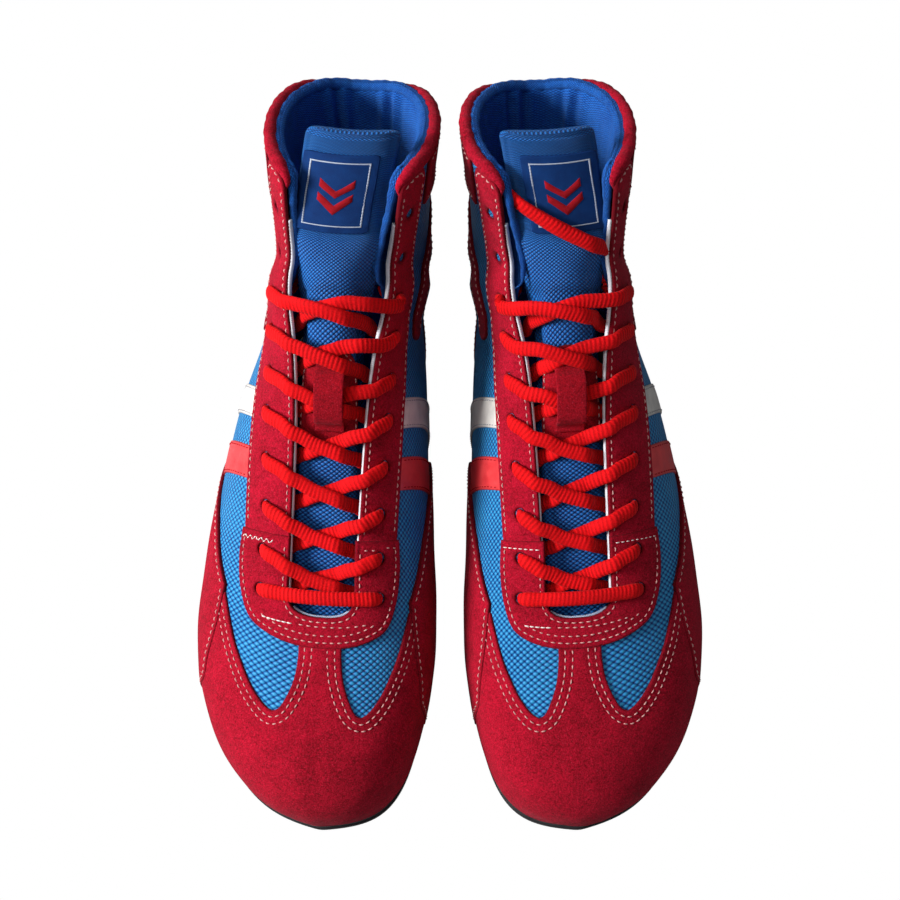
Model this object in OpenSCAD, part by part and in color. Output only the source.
// A pair of lace-up boxing boots: suede overlays on a mesh upper, knit lining, flat rubber soles.
// Frame: millimetres, +Z up, origin on the floor midway between the boots, toes towards -Y.
// Every upper panel is a patch of one lasted surface, at its own depth below the outer face.

/* [Boot] */
// Length of one boot, heel to toe
boot_length = 284; // [250:1:310]
// Breadth of the upper across the ball of the foot
ball_breadth = 104; // [94:1:112]
// Height of the top line at the heel
back_height = 158; // [140:1:180]

/* [Pair] */
// Distance from the centre plane of the pair to each collar
half_spacing = 42; // [40:1:70]
// Angle each boot points outwards
toe_out = 4; // [0:1:8]

/* [Soles] */
// Rubber outsole thickness
outsole_t = 5; // [3:0.5:6]
// Foam midsole thickness
midsole_t = 3.6; // [2:0.2:5]
// How far the outsole stands out past the upper
outsole_rim = 1.5; // [0:0.5:3]
// Lasting board thickness
board_t = 1.6; // [1:0.2:2]
// Sock liner thickness
sock_t = 3.6; // [2:0.2:5]

/* [Upper] */
// Suede thickness
suede_t = 1.2; // [0.8:0.1:1.4]
// Mesh thickness
mesh_t = 0.8; // [0.4:0.1:1]
// Toe and heel stiffener thickness
stiffener_t = 1; // [0.5:0.1:1.2]
// Lining thickness
lining_t = 1; // [0.5:0.1:1.2]
// Padded collar lining thickness
padding_t = 3.6; // [2:0.2:5]
// Vinyl stripe thickness
stripe_t = 0.8; // [0.4:0.1:1.1]

/* [Tongue] */
// Tongue thickness in the throat
tongue_t = 4; // [3:0.5:5]
// Padded top of the tongue
tongue_top_t = 6; // [4:0.5:7]

/* [Lacing] */
// Lace width where it lies flat
lace_w = 6.4; // [5:0.2:7]
// Lace thickness
lace_t = 1.8; // [1:0.1:1.9]
// Punched eyelet diameter
eyelet_d = 5; // [4.6:0.1:5.6]

// Which sub-part to show

/* [Hidden] */
SUEDE = "#a8152b";
SUEDE_BRIGHT = "#c8202c";
MESH = "#1f62c4";
KNIT = "#1d55b0";
VINYL_WHITE = "#d9d6cc";
VINYL_RED = "#d2363c";
TAPE = "#e6e8ee";
RUBBER = "#141416";
FOAM = "#1c1c20";
BOARD = "#b59a74";
LABEL = "#16407f";
LACE = "#d81f26";

// Size of the boot the station table below is drawn for
TABLE_LENGTH = 284;
TABLE_BREADTH = 104;
TABLE_HEIGHT = 158;
TABLE_FEATHER = 9.5;

// Gap kept between stacked layers
GAP = 0.8;
// Gap kept between pieces laid on each other by hand, such as board on sole
FIT = 0.1;

// Depths of the layers, from the outer face of the suede inwards
mesh_d = suede_t + GAP;
stiffener_d = mesh_d + mesh_t + GAP;
lining_d = stiffener_d + stiffener_t + GAP;
tape_d = suede_t + 0.7;
tape_t = 0.6;
tongue_d = 7.2;
tongue_side_d = 11.6;
lace_under = lining_d + lining_t + 0.7 + lace_t / 2;

// Height of the edge of the upper above the floor
feather = outsole_t + midsole_t + 0.9;

// Stations from the toe tip back to the heel, then up the back line. Each row holds
// [x, forward, z] of the centre line, of the outer edge and of the inner edge, the sideways
// reach at the centre line (outer, inner), the rise at the edge (outer, inner), the turn
// of the section at the edge, and the swell of the side wall (outer, inner).
STATIONS = [
    [3, 284,  10,    3, 284, 9.5,    3, 284, 9.5,    0,  0,    0,  0,    0,    0, 0],
    [3, 285,  27,  -22, 279, 9.5,   29, 280, 9.5,   17, 18,   10, 11,    0,    0, 0],
    [3, 268,  43,  -46, 252, 9.5,   41, 258, 9.5,   30, 30,   20, 22,    0,    2, 1],
    [2, 243,  49,  -56, 224, 9.5,   45, 232, 9.5,   37, 35,   26, 28,    0,    3, 2],
    [1, 216,  56,  -59, 196, 9.5,   47, 205, 9.5,   39, 36,   30, 32,    0,    5, 3],
    [0, 188,  70,  -57, 166, 9.5,   43, 172, 9.5,   39, 36,   38, 40,    0,    7, 5],
    [0, 160,  88,  -52, 131, 9.5,   38, 135, 9.5,   38, 35,   50, 50,    0,   10, 7],
    [0, 136, 108,  -45,  95, 9.5,   34,  98, 9.5,   39, 36,   60, 60,    0,   10, 8],
    [0, 118, 128,  -38,  58, 9.5,   31,  60, 9.5,   40, 38,   24, 25,    0,    8, 5],
    [1, 108, 144,  -28,  24, 9.5,   25,  24, 9.5,   48, 45,   20, 19,   60,    3, 2],
    [2, 103, 155,   -8,   2, 9.5,    7,   2, 9.5,   44, 40,   43, 43,   88,    0, 0],
    [2, 100, 162,    1,   0,   5,    1,   0,   5,   39, 39,   50, 50,   76,    0, 0],
    [3,  97, 168,    2,   5,  54,    2,   5,  54,   42, 42,   42, 42,   90,    0, 0],
    [4,  94, 174,    3,  11,  92,    3,  11,  92,   43, 43,   42, 42,   90,    0, 0],
    [5,  92, 179,    4,  10, 126,    4,  10, 126,   44, 44,   42, 42,   90,    0, 0],
    [6,  89, 185,    5,   6, 158,    5,   6, 158,   44, 44,   44, 44,   90,    0, 0],
];
LAST = len(STATIONS) - 1;
TOP = LAST;
// The station where the sole outline meets the back line
HEEL = 11;

kx = ball_breadth / TABLE_BREADTH;
ky = boot_length / TABLE_LENGTH;
kz = (back_height - feather) / (TABLE_HEIGHT - TABLE_FEATHER);

function level(z) = feather + (z - TABLE_FEATHER) * kz;
function sized(r) = [
    r[0] * kx, r[1] * ky, level(r[2]), r[3] * kx, r[4] * ky, level(r[5]),
    r[6] * kx, r[7] * ky, level(r[8]), r[9] * kx, r[10] * kx, r[11] * kz, r[12] * kz,
    r[13], r[14] * kx, r[15] * kx
];
ROWS = [for (r = STATIONS) sized(r)];
BEFORE = 2 * ROWS[0] - ROWS[1];
AFTER = 2 * ROWS[LAST] - ROWS[LAST - 1];
function row(i) = i < 0 ? BEFORE : i > LAST ? AFTER : ROWS[i];

// Uniform cubic B-spline through the station rows, and its slope
function cell(s) = max(0, min(floor(s), LAST - 1));
function blend4(w, i) = (w[0] * row(i - 1) + w[1] * row(i) + w[2] * row(i + 1) + w[3] * row(i + 2)) / 6;
function rows_at(s) =
    let (i = cell(s), f = s - i, g = 1 - f)
    blend4([g^3, 3 * f^3 - 6 * f^2 + 4, -3 * f^3 + 3 * f^2 + 3 * f + 1, f^3], i);
function slope_at(s) =
    let (i = cell(s), f = s - i, g = 1 - f)
    blend4([-3 * g^2, 9 * f^2 - 12 * f, -9 * f^2 + 6 * f + 3, 3 * f^2], i);

function unit(p) = p / max(norm(p), 1e-9);
function mix(a, b, t) = a + (b - a) * t;
function clamp01(t) = max(0, min(1, t));
function ease(t) = t * t * (3 - 2 * t);

// The lasted surface: s runs along the stations, v from the outer edge (-1) over the
// centre line (0) to the inner edge (1). The two edges become one up the back line.
function skin(s, v) =
    let (
        r = rows_at(s), d = slope_at(s), inner = v > 0, side = inner ? 1 : -1,
        k = inner ? 6 : 3, w = ease(clamp01(s - HEEL + 1)),
        top = [r[0], r[1], r[2]],
        edge = [mix(r[k], (r[3] + r[6]) / 2, w), r[k + 1], r[k + 2]],
        along = unit([d[k], d[k + 1], 0]),
        across = [-side, 0, 0],
        turn = unit(mix(along, across, clamp01((s - HEEL + 2) / 2))),
        fall = unit(cos(r[13]) * [0, 0, -1] + sin(r[13]) * turn),
        swell = inner ? r[15] : -r[14],
        p1 = top + [side * (inner ? r[10] : r[9]), 0, 0],
        p2 = edge - (inner ? r[12] : r[11]) * fall + [swell, 0, 0],
        q = abs(v), g = 1 - q,
        p = g^3 * top + 3 * g^2 * q * p1 + 3 * g * q^2 * p2 + q^3 * edge
    )
    [p[0], -p[1], p[2]];

// Outward direction of the surface
STEP = 0.01;
function facing(s, v) =
    let (
        va = max(-1, v - STEP), vb = min(1, v + STEP),
        sa = max(0, s - STEP), sb = min(TOP, s + STEP)
    )
    unit(cross(skin(min(s, TOP), vb) - skin(min(s, TOP), va), skin(sb, v) - skin(min(sa, TOP - STEP), v)));
// On the back line the two sides meet, so their directions are averaged
function outward(s, v) = abs(v) > 0.995 && s >= HEEL ? unit(facing(s, -1) + facing(s, 1)) : facing(s, v);
function at(s, v, o) = skin(s, v) + o * outward(s, v);

// Shared outlines in (s, v), measured on one side and used for both
function line(points, s) = lookup(s, points);
THROAT = [[4.28, 0.1], [4.5, 0.13], [7, 0.135], [9, 0.165], [12, 0.19], [15, 0.21]];
EYESTAY = [[5.36, 0.36], [6.7, 0.38], [7.6, 0.385], [8.9, 0.36], [10.8, 0.33], [13, 0.34], [15, 0.36]];
function throat(s) = line(THROAT, s);
function stay(s) = line(EYESTAY, s);
// Eyelets from the toe end up: the lace uses the first eight, the top two stay free
EYELETS = [
    [4.58, 0.255], [5.1, 0.25], [5.65, 0.25], [6.25, 0.265], [6.88, 0.28], [7.5, 0.285],
    [8.35, 0.28], [9.4, 0.27], [11.1, 0.265], [13.2, 0.275],
];
APRON_EYELETS = [0, 1];
STAY_EYELETS = [2, 3, 4, 5, 6, 7, 8, 9];
LACED = 8;

// The same outline on the other side, and one outline run across both sides
function other(p) = [for (q = p) [q[0], -q[1]]];
function reversed(p) = [for (i = [len(p) - 1 : -1 : 0]) p[i]];
function both(p) = concat(other(reversed(p)), [for (i = [1 : len(p) - 1]) p[i]]);
function depth(p, o) = [for (q = p) [q[0], q[1], o]];
// An outline with n - 1 extra points along each of its sides
function fine(p, n) = concat(
    [for (i = [0 : len(p) - 2], k = [0 : n - 1]) mix(p[i], p[i + 1], k / n)], [p[len(p) - 1]]
);
// A grid of (s, v, depth) between two outlines with the same number of points
function between(a, b, n) = [for (i = [0 : n]) [for (j = [0 : len(a) - 1]) mix(a[j], b[j], i / n)]];
function lattice(ss, vs, o) = [for (s = ss) [for (v = vs) [s, v, o]]];
// Steps a, a+(b-a)/n ... b
function steps(a, b, n) = [for (i = [0 : n]) mix(a, b, i / n)];

// A closed layer of thickness t over a grid, less the cells that skip(i, j) leaves out
module layer(grid, t, skip = function (i, j) false) {
    m = len(grid);
    n = len(grid[0]);
    low = [for (g = grid, q = g) skin(q[0], q[1]) + q[2] * outward(q[0], q[1])];
    high = [for (g = grid, q = g) skin(q[0], q[1]) + (q[2] + t) * outward(q[0], q[1])];
    has = function (i, j) i >= 0 && j >= 0 && i < m - 1 && j < n - 1 && !skip(i, j);
    id = function (i, j) i * n + j;
    lift = m * n;
    faces = [
        for (i = [0 : m - 2], j = [0 : n - 2]) if (has(i, j))
            let (a = id(i, j), b = id(i + 1, j), c = id(i + 1, j + 1), d = id(i, j + 1))
            each concat(
                [[a, b, c], [a, c, d]],
                [[a + lift, c + lift, b + lift], [a + lift, d + lift, c + lift]],
                has(i, j - 1) ? [] : [[b, a, a + lift], [b, a + lift, b + lift]],
                has(i, j + 1) ? [] : [[d, c, c + lift], [d, c + lift, d + lift]],
                has(i - 1, j) ? [] : [[a, d, d + lift], [a, d + lift, a + lift]],
                has(i + 1, j) ? [] : [[c, b, b + lift], [c, b + lift, c + lift]]
            )
    ];
    polyhedron(concat(high, low), faces);
}

// A flat strap of thickness t swept along points, each with its width axis and half width
module strap(points, axes, halves, t) {
    n = len(points);
    ways = [for (i = [0 : n - 1]) unit(points[min(i + 1, n - 1)] - points[max(i - 1, 0)])];
    wide = [for (i = [0 : n - 1]) unit(axes[i] - (axes[i] * ways[i]) * ways[i])];
    thin = [for (i = [0 : n - 1]) cross(ways[i], wide[i])];
    ring = [
        for (i = [0 : n - 1])
            let (p = points[i], w = wide[i] * halves[i], h = thin[i] * t / 2)
            each [p + w + h, p - w + h, p - w - h, p + w - h]
    ];
    sides = [
        for (i = [0 : n - 2], k = [0 : 3])
            let (a = i * 4 + k, b = i * 4 + (k + 1) % 4)
            each [[a, b + 4, b], [a, a + 4, b + 4]]
    ];
    e = (n - 1) * 4;
    polyhedron(ring, concat(sides, [[0, 1, 2], [0, 2, 3], [e, e + 2, e + 1], [e, e + 3, e + 2]]));
}

// Round holes through every layer at the listed eyelets of one side
module eyelet_holes(list, side) {
    for (k = list) {
        s = EYELETS[k][0];
        v = side * EYELETS[k][1];
        n = outward(s, v);
        translate(at(s, v, -6))
            rotate([0, acos(n[2]), atan2(n[1], n[0])])
                cylinder(h = 20, d = eyelet_d, center = true, $fn = 24);
    }
}

// Outline of the sole seen from above; the inner plates use fewer points, so that their
// smaller outlines stay clean
SOLE_STEPS = [0, 0.3, 0.6, 1, 1.4, 1.8, 2.3, 3, 4, 5, 6, 7, 8, 8.7, 9.2, 9.6, 9.9, 10.2, 10.5, 10.8];
INNER_STEPS = [0, 1, 1.6, 2.3, 3, 4, 5, 6, 7, 8, 8.6, 9.1];
function sole_half(list, side) = [for (s = list) let (p = skin(s, side)) [p[0], p[1]]];
function sole_line(list) = concat(
    sole_half(list, 1), [[skin(HEEL, 1)[0], skin(HEEL, 1)[1]]],
    [for (i = [len(list) - 1 : -1 : 1]) sole_half(list, -1)[i]]
);
function grown(p, g) = [
    for (i = [0 : len(p) - 1])
        let (
            a = p[(i + len(p) - 1) % len(p)], b = p[(i + 1) % len(p)],
            d = unit([b[0] - a[0], b[1] - a[1]])
        )
        [p[i][0] - d[1] * g, p[i][1] + d[0] * g]
];
module sole_plate(list, g, z, t) {
    translate([0, 0, z])
        linear_extrude(t)
            polygon(grown(sole_line(list), -g));
}
board_in = lining_d + lining_t + 1.4;
sock_in = board_in + 1.6;

module outsole() color(RUBBER) sole_plate(SOLE_STEPS, outsole_rim, 0, outsole_t);
module midsole() color(FOAM) sole_plate(SOLE_STEPS, 0.2, outsole_t, midsole_t);
module lasting_board() color(BOARD) sole_plate(INNER_STEPS, -board_in, outsole_t + midsole_t + FIT, board_t);
module sock_liner() color(KNIT)
    sole_plate(INNER_STEPS, -sock_in, outsole_t + midsole_t + board_t + 2 * FIT, sock_t);

// Mesh under the overlays: one piece round the forefoot, then a quarter each side
FRONT_V = [-1, -0.86, -0.72, -0.58, -0.44, -0.3, -0.1, 0.1, 0.3, 0.44, 0.58, 0.72, 0.86, 1];
module vamp_mesh() color(MESH)
    layer(
        lattice([0.8, 1.2, 1.7, 2.3, 2.9, 3.55, 4.25, 4.8, 5.4, 6.1], FRONT_V, -mesh_d - mesh_t),
        mesh_t,
        function (i, j) i >= 6 && j >= 5 && j <= 7
    );
QUARTER_V = [0.3, 0.42, 0.54, 0.65, 0.74, 0.82, 0.89, 0.94, 0.985];
module quarter_mesh(side) color(MESH)
    layer(
        lattice(
            concat([6.16, 6.9, 7.7], steps(8.2, 11.8, 12), [12.5, 13.3, 14.1, 14.94]),
            [for (v = side > 0 ? QUARTER_V : reversed(QUARTER_V)) side * v],
            -mesh_d - mesh_t
        ),
        mesh_t
    );

// Suede toe cap: a centre strip up to the apron and a wing each side round two mesh windows
CAP_TOP = [
    [3.8, 0], [3.74, 0.08], [3.4, 0.1], [2.98, 0.155], [2.9, 0.205], [3.14, 0.29],
    [3.75, 0.39], [4.36, 0.46], [3.76, 0.52], [2.97, 0.68], [2.82, 0.84], [2.75, 1],
];
module toe_cap() color(SUEDE)
    layer(
        between(
            depth([for (p = fine(both(CAP_TOP), 2)) [0.06, p[1]]], -suede_t),
            depth(fine(both(CAP_TOP), 2), -suede_t), 8
        ),
        suede_t
    );
module toe_puff() color(BOARD)
    layer(lattice(steps(0.6, 2.6, 5), steps(-0.9, 0.9, 10), -stiffener_d - stiffener_t), stiffener_t);

// Suede side panel from the toe cap seam to the arch
SIDE_LOW = [[4.14, 0.49], [3.8, 0.53], [3.42, 0.6], [3.02, 0.69], [2.9, 0.8], [2.85, 0.9], [2.8, 1]];
SIDE_TOP = [[4.5, 0.49], [4.85, 0.53], [5.3, 0.6], [5.75, 0.69], [6.2, 0.8], [6.5, 0.9], [6.56, 1]];
module side_panel(side) color(SUEDE)
    layer(
        side > 0
            ? between(depth(SIDE_LOW, -suede_t), depth(SIDE_TOP, -suede_t), 5)
            : between(
                depth(other(reversed(SIDE_LOW)), -suede_t), depth(other(reversed(SIDE_TOP)), -suede_t), 5
            ),
        suede_t
    );

// U-shaped suede apron round the foot of the throat
APRON_OUT = [[5.32, 0.365], [4.95, 0.375], [4.5, 0.355], [4.15, 0.3], [3.98, 0.2], [3.9, 0.1], [3.88, 0]];
APRON_IN = [[5.32, 0.13], [4.95, 0.13], [4.6, 0.13], [4.42, 0.115], [4.34, 0.08], [4.32, 0.04], [4.31, 0]];
module throat_apron() color(SUEDE)
    difference() {
        layer(
            between(
                depth(both(reversed(APRON_OUT)), -suede_t), depth(both(reversed(APRON_IN)), -suede_t), 3
            ),
            suede_t
        );
        eyelet_holes(APRON_EYELETS, 1);
        eyelet_holes(APRON_EYELETS, -1);
    }

STAY_S = [5.38, 6, 6.7, 7.4, 8.1, 8.9, 9.8, 10.8, 12, 13.4, 15];
module eyestay(side) color(SUEDE)
    difference() {
        layer(
            [
                for (s = STAY_S) [
                    for (f = side > 0 ? [0, 0.33, 0.67, 1] : [1, 0.67, 0.33, 0])
                        [s, side * mix(throat(s), stay(s), f), -suede_t]
                ]
            ],
            suede_t
        );
        eyelet_holes(STAY_EYELETS, side);
    }
// White tape bound along the inside edge of the throat
module throat_tape(side) color(TAPE)
    layer(
        [
            for (s = [4.75, 5.4, 6.2, 7, 7.8, 8.7, 9.8, 11, 12.4]) [
                for (f = side > 0 ? [-0.014, 0.04] : [0.04, -0.014])
                    [s, side * (throat(s) + f), -tape_d - tape_t]
            ]
        ],
        tape_t
    );

// Suede heel counter and ankle strap, each one piece round the back line
function wrapped(p) = concat(other(p), [for (i = [len(p) - 2 : -1 : 0]) p[i]]);
HEEL_LOW = [[7.9, 1], [8.5, 1], [9.1, 1], [9.8, 1], [10.4, 0.975], [10.8, 0.97], [11.2, 1]];
HEEL_TOP = [[8.14, 0.9], [8.76, 0.79], [9.8, 0.7], [11.18, 0.69], [11.97, 0.81], [12.3, 0.94], [12.34, 1]];
module heel_counter() color(SUEDE)
    layer(
        between(depth(wrapped(fine(HEEL_TOP, 2)), -suede_t), depth(wrapped(fine(HEEL_LOW, 2)), -suede_t), 6),
        suede_t
    );
STIFF_TOP = [for (p = HEEL_TOP) [p[0] - 0.2, p[1] < 1 ? p[1] + 0.04 : 1]];
STIFF_LOW = [for (p = HEEL_LOW) p[0] < HEEL ? [p[0] + (HEEL - p[0]) * 0.1, 0.92] : [HEEL + 0.5, 1]];
module heel_stiffener() color(BOARD)
    layer(
        between(
            depth(wrapped(fine(STIFF_TOP, 2)), -stiffener_d - stiffener_t),
            depth(wrapped(fine(STIFF_LOW, 2)), -stiffener_d - stiffener_t), 8
        ),
        stiffener_t
    );
STRAP_LOW = [[8.4, 0.5], [9.2, 0.5], [10.6, 0.48], [11.95, 0.6], [12.72, 0.76], [12.95, 0.84], [13.12, 1]];
STRAP_TOP = [[8.83, 0.41], [10.1, 0.4], [11.85, 0.47], [13, 0.61], [13.6, 0.76], [13.75, 0.82], [13.87, 1]];
module ankle_strap() color(SUEDE)
    layer(
        between(
            depth(wrapped(fine(STRAP_TOP, 3)), -suede_t),
            depth(wrapped(fine(STRAP_LOW, 3)), -suede_t), 4
        ),
        suede_t
    );
BAND_LOW = [[13.3, 0.37], [13.62, 0.47], [13.85, 0.6], [13.95, 0.72], [14.05, 0.86], [14.08, 1]];
module collar_band() color(SUEDE)
    layer(
        between(
            depth(wrapped(fine([for (p = BAND_LOW) [TOP, p[1]]], 2)), -suede_t),
            depth(wrapped(fine(BAND_LOW, 2)), -suede_t), 3
        ),
        suede_t
    );

// Knit lining: thin up to the ankle, then a padded lining to the top line
LINING_SPLIT = 12;
LINING_S = concat([2.75, 3.25, 3.8, 4.4, 5.1, 5.9, 6.7, 7.5], steps(8.2, 11.8, 12), [11.95]);
LINING_V = [0.16, 0.36, 0.52, 0.68, 0.8, 0.9, 0.985];
module lining() color(KNIT)
    layer(
        lattice(LINING_S, concat([for (v = reversed(LINING_V)) -v], LINING_V), -lining_d - lining_t),
        lining_t,
        function (i, j) i >= 3 && abs(j - 6) <= 1
    );
COLLAR_V = [0.22, 0.36, 0.52, 0.68, 0.84];
module collar_lining() color(KNIT)
    difference() {
        layer(
            [
                for (s = [TOP, 14, 13, 12.05])
                    [
                        for (v = concat([for (x = COLLAR_V) -x], [-1], reversed(COLLAR_V)))
                            [s, v, -lining_d - padding_t]
                    ]
            ],
            padding_t
        );
        eyelet_holes([9], 1);
        eyelet_holes([9], -1);
    }

// Vinyl stripes across the quarters, white above red
module stripe(side, low, high, top_v, end_v, n) {
    vs = steps(top_v, end_v, n);
    layer(
        [for (k = [0, 0.5, 1]) [
            for (v = side > 0 ? vs : reversed(vs)) [mix(low, high, k), side * v, -stripe_t - 0.2]
        ]],
        stripe_t
    );
}
module white_stripes() color(VINYL_WHITE)
    for (side = [-1, 1]) stripe(side, 6.68, 7.13, 0.4, 1, 8);
module red_stripes() color(VINYL_RED)
    for (side = [-1, 1]) stripe(side, 5.9, 6.3, 0.39, 0.69, 5);

// Tongue: raised along the middle of the throat, split where it folds back
function tongue_top(v) = -mix(tongue_d, tongue_side_d, ease(clamp01((abs(v) - 0.05) / 0.1)));
TONGUE_V = [-0.27, -0.2, -0.14, -0.09, 0, 0.09, 0.14, 0.2, 0.27];
FOLD = 9.4;
FOLD_GAP = 0.8;
TONGUE_TIP = 16.1;
module tongue_lower() color(MESH)
    layer(
        [for (s = [4.6, 5.2, 5.9, 6.6, 7.3, 8, 8.6, FOLD - FOLD_GAP / 2]) [
            for (v = TONGUE_V) [s, v, tongue_top(v) - tongue_t]
        ]],
        tongue_t
    );
// Above the fold the middle sinks to the depth of the sides, the tongue widens, and from
// the ankle up it leans back
TONGUE_LEAN = 1.5;
TONGUE_WIDER = 1.33;
function lean_back(s) = TONGUE_LEAN * max(0, s - 12);
function tongue_rise(s, v) = mix(tongue_top(v), -tongue_side_d, clamp01((s - 9.5) / 2)) - lean_back(s);
function tongue_v(s, v) = v * mix(1, TONGUE_WIDER, clamp01((s - 9.8) / 2));
module tongue_upper() color(MESH)
    layer(
        [for (s = [FOLD + FOLD_GAP / 2, 10.4, 11.4, 12.5, 13.6, 14.6, 15.4, TONGUE_TIP]) [
            for (v = TONGUE_V) [s, tongue_v(s, v), tongue_rise(s, v) - tongue_top_t]
        ]],
        tongue_top_t
    );
label_t = 0.6;
label_lift = 0.4;
module tongue_label() color(LABEL)
    layer(
        [for (s = [12.2, 13, 13.8, 14.6, 15.3]) [
            for (v = steps(-0.19, 0.19, 6)) [s, v, label_lift - tongue_side_d - lean_back(s)]
        ]],
        label_t
    );

// Suede patch on the tongue with a loop that holds one crossing of the lace
patch_t = 0.9;
patch_lift = 0.7;
module keeper_patch() color(SUEDE)
    layer(
        [for (s = steps(6.62, 7.72, 4)) [
            for (v = [-0.1, -0.05, 0, 0.05, 0.1]) [s, v, tongue_top(v) + patch_lift]
        ]],
        patch_t
    );
KEEPER_FOOT = patch_lift + patch_t + 0.8 - tongue_d;
KEEPER = [
    [6.74, KEEPER_FOOT], [6.78, KEEPER_FOOT], [6.81, KEEPER_FOOT + 1], [6.84, -1], [6.9, 0.9],
    [7.02, 1.3], [7.19, 1.5], [7.36, 1.3], [7.48, 0.9], [7.53, -1], [7.56, KEEPER_FOOT + 1],
    [7.59, KEEPER_FOOT], [7.62, KEEPER_FOOT],
];
keeper_half = 5.5;
module lace_keeper() color(SUEDE)
    strap(
        [for (k = KEEPER) at(k[0], 0.001, k[1])], [for (k = KEEPER) [1, 0, 0]],
        [for (k = KEEPER) keeper_half], 0.8
    );

// The lace: each pass leaves from under one side, crosses, and goes down the next eyelet.
// A way point is [s, v, depth, half width].
over = lace_t / 2 + 0.6;
lace_half = lace_w / 2;
neck = eyelet_d * 0.3;
function hole(k, side) = [
    [EYELETS[k][0], side * EYELETS[k][1], -0.9, neck],
    [EYELETS[k][0], side * EYELETS[k][1], -lining_d - lining_t, neck],
];
function crossing(k, side, high) =
    let (
        s0 = EYELETS[k][0], s1 = EYELETS[k + 1][0], v1 = EYELETS[k + 1][1],
        w = function (t) mix(s0, s1, t), tv = throat((s0 + s1) / 2), up = high ? 2.2 : 0
    )
    [
        [s0, side * (EYELETS[k][1] - 0.03), -lace_under, lace_half * 0.8],
        [w(0.12), side * (tv + 0.04), -lace_under, lace_half],
        [w(0.22), side * (tv - 0.01), -lace_under + 0.8, lace_half],
        [w(0.3), side * (tv - 0.045), -5.2, lace_half],
        [w(0.4), side * 0.055, -4.2 + up, lace_half],
        [w(0.5), 0, -4.1 + up, lace_half],
        [w(0.6), side * -0.055, -4 + up, lace_half],
        [w(0.7), side * (0.04 - tv), -1.4 + up * 0.4, lace_half],
        [w(0.78), side * -(tv - 0.005), over, lace_half],
        [w(0.88), side * -(tv + 0.05), over, lace_half],
        [w(0.96), side * -(v1 - 0.035), over - 0.1, lace_half * 0.8],
        [s1, side * -v1, 1, neck],
    ];
function strand(side) = [
    for (k = [0 : LACED - 2])
        let (sg = side * (k % 2 == 0 ? 1 : -1))
        each concat(crossing(k, sg, sg < 0), hole(k + 1, -sg))
];
// The first bar lies across the apron, outside, between the two bottom eyelets
BAR_V = [0.255, 0.22, 0.15, 0.07, 0, -0.07, -0.15, -0.22, -0.255];
function bar() = [for (v = BAR_V) [
    EYELETS[0][0], v, abs(v) > 0.24 ? 1 : over, abs(v) > 0.24 ? neck : lace_half
]];
// Each end is tucked away inside, up between the lining and the tongue
function tuck(side) = [
    for (t = [0.15, 0.35, 0.6]) [EYELETS[7][0] + t * 2.5, side * EYELETS[7][1], -lace_under, neck]
];
function lace_way() = concat(
    reversed(concat(hole(0, 1), strand(1), tuck(-1))),
    bar(),
    concat(hole(0, -1), strand(-1), tuck(1))
);
module lace() color(LACE) {
    way = lace_way();
    strap(
        [for (q = way) at(q[0], q[1], q[2])],
        [for (q = way) skin(q[0] + 0.05, q[1]) - skin(q[0] - 0.05, q[1])],
        [for (q = way) q[3]], lace_t
    );
}

// Each boot stands turned out about its own collar; the left one is the mirror image
COLLAR_Y = 45;
MIDDLE_Y = 97.4;
module right() {
    translate([-half_spacing, MIDDLE_Y, 0])
        rotate([0, 0, -toe_out])
            translate([0, COLLAR_Y, 0])
                children();
}
module left() mirror([1, 0, 0]) right() children();

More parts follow.
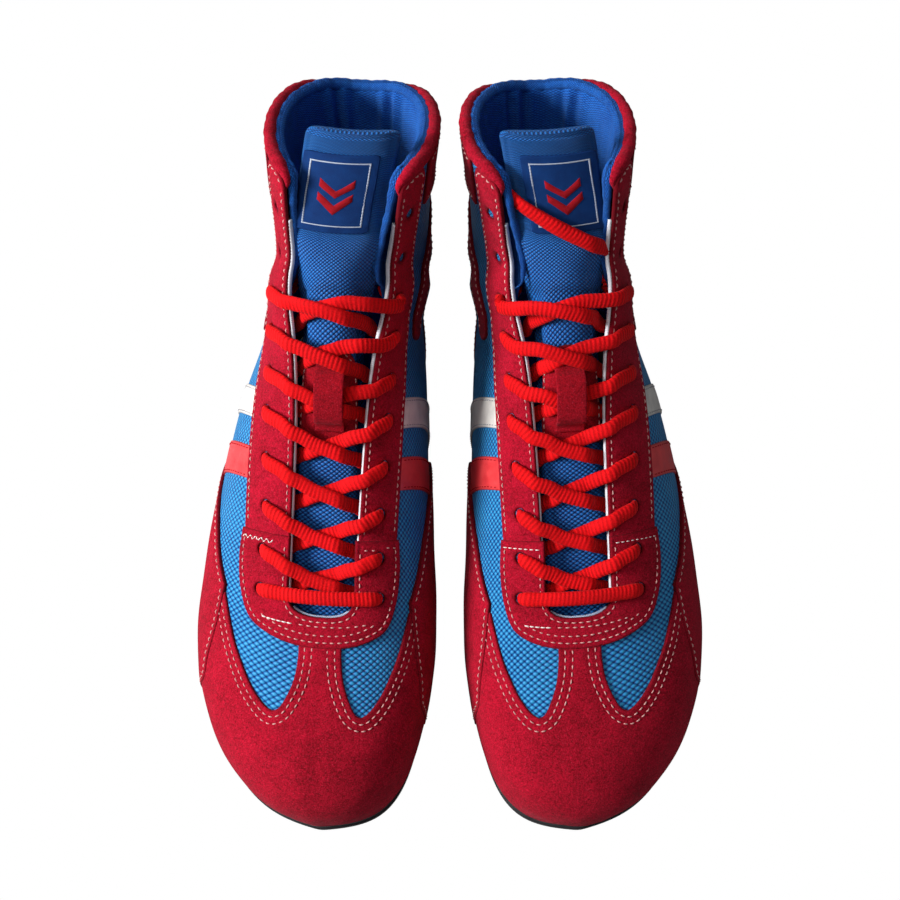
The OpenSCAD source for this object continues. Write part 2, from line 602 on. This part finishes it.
right() outsole();  // right_outsole
right() midsole();  // right_midsole
right() lasting_board();  // right_lasting_board
right() sock_liner();  // right_sock_liner
right() vamp_mesh();  // right_vamp_mesh
right() quarter_mesh(-1);  // right_quarter_mesh_lateral
right() quarter_mesh(1);  // right_quarter_mesh_medial
right() toe_cap();  // right_toe_cap
right() throat_apron();  // right_throat_apron
right() eyestay(-1);  // right_eyestay_lateral
right() eyestay(1);  // right_eyestay_medial
right() throat_tape(-1);  // right_throat_tape_lateral
right() throat_tape(1);  // right_throat_tape_medial
right() side_panel(-1);  // right_side_panel_lateral
right() side_panel(1);  // right_side_panel_medial
right() heel_counter();  // right_heel_counter
right() ankle_strap();  // right_ankle_strap
right() collar_band();  // right_collar_band
right() collar_lining();  // right_collar_lining
right() lining();  // right_lining
right() white_stripes();  // right_white_stripes
right() red_stripes();  // right_red_stripes
right() tongue_lower();  // right_tongue_lower
right() tongue_upper();  // right_tongue_upper
right() tongue_label();  // right_tongue_label
right() keeper_patch();  // right_keeper_patch
right() lace_keeper();  // right_lace_keeper
right() lace();  // right_lace
right() toe_puff();  // right_toe_puff
right() heel_stiffener();  // right_heel_stiffener
left() outsole();  // left_outsole
left() midsole();  // left_midsole
left() lasting_board();  // left_lasting_board
left() sock_liner();  // left_sock_liner
left() vamp_mesh();  // left_vamp_mesh
left() quarter_mesh(-1);  // left_quarter_mesh_lateral
left() quarter_mesh(1);  // left_quarter_mesh_medial
left() toe_cap();  // left_toe_cap
left() throat_apron();  // left_throat_apron
left() eyestay(-1);  // left_eyestay_lateral
left() eyestay(1);  // left_eyestay_medial
left() throat_tape(-1);  // left_throat_tape_lateral
left() throat_tape(1);  // left_throat_tape_medial
left() side_panel(-1);  // left_side_panel_lateral
left() side_panel(1);  // left_side_panel_medial
left() heel_counter();  // left_heel_counter
left() ankle_strap();  // left_ankle_strap
left() collar_band();  // left_collar_band
left() collar_lining();  // left_collar_lining
left() lining();  // left_lining
left() white_stripes();  // left_white_stripes
left() red_stripes();  // left_red_stripes
left() tongue_lower();  // left_tongue_lower
left() tongue_upper();  // left_tongue_upper
left() tongue_label();  // left_tongue_label
left() keeper_patch();  // left_keeper_patch
left() lace_keeper();  // left_lace_keeper
left() lace();  // left_lace
left() toe_puff();  // left_toe_puff
left() heel_stiffener();  // left_heel_stiffener
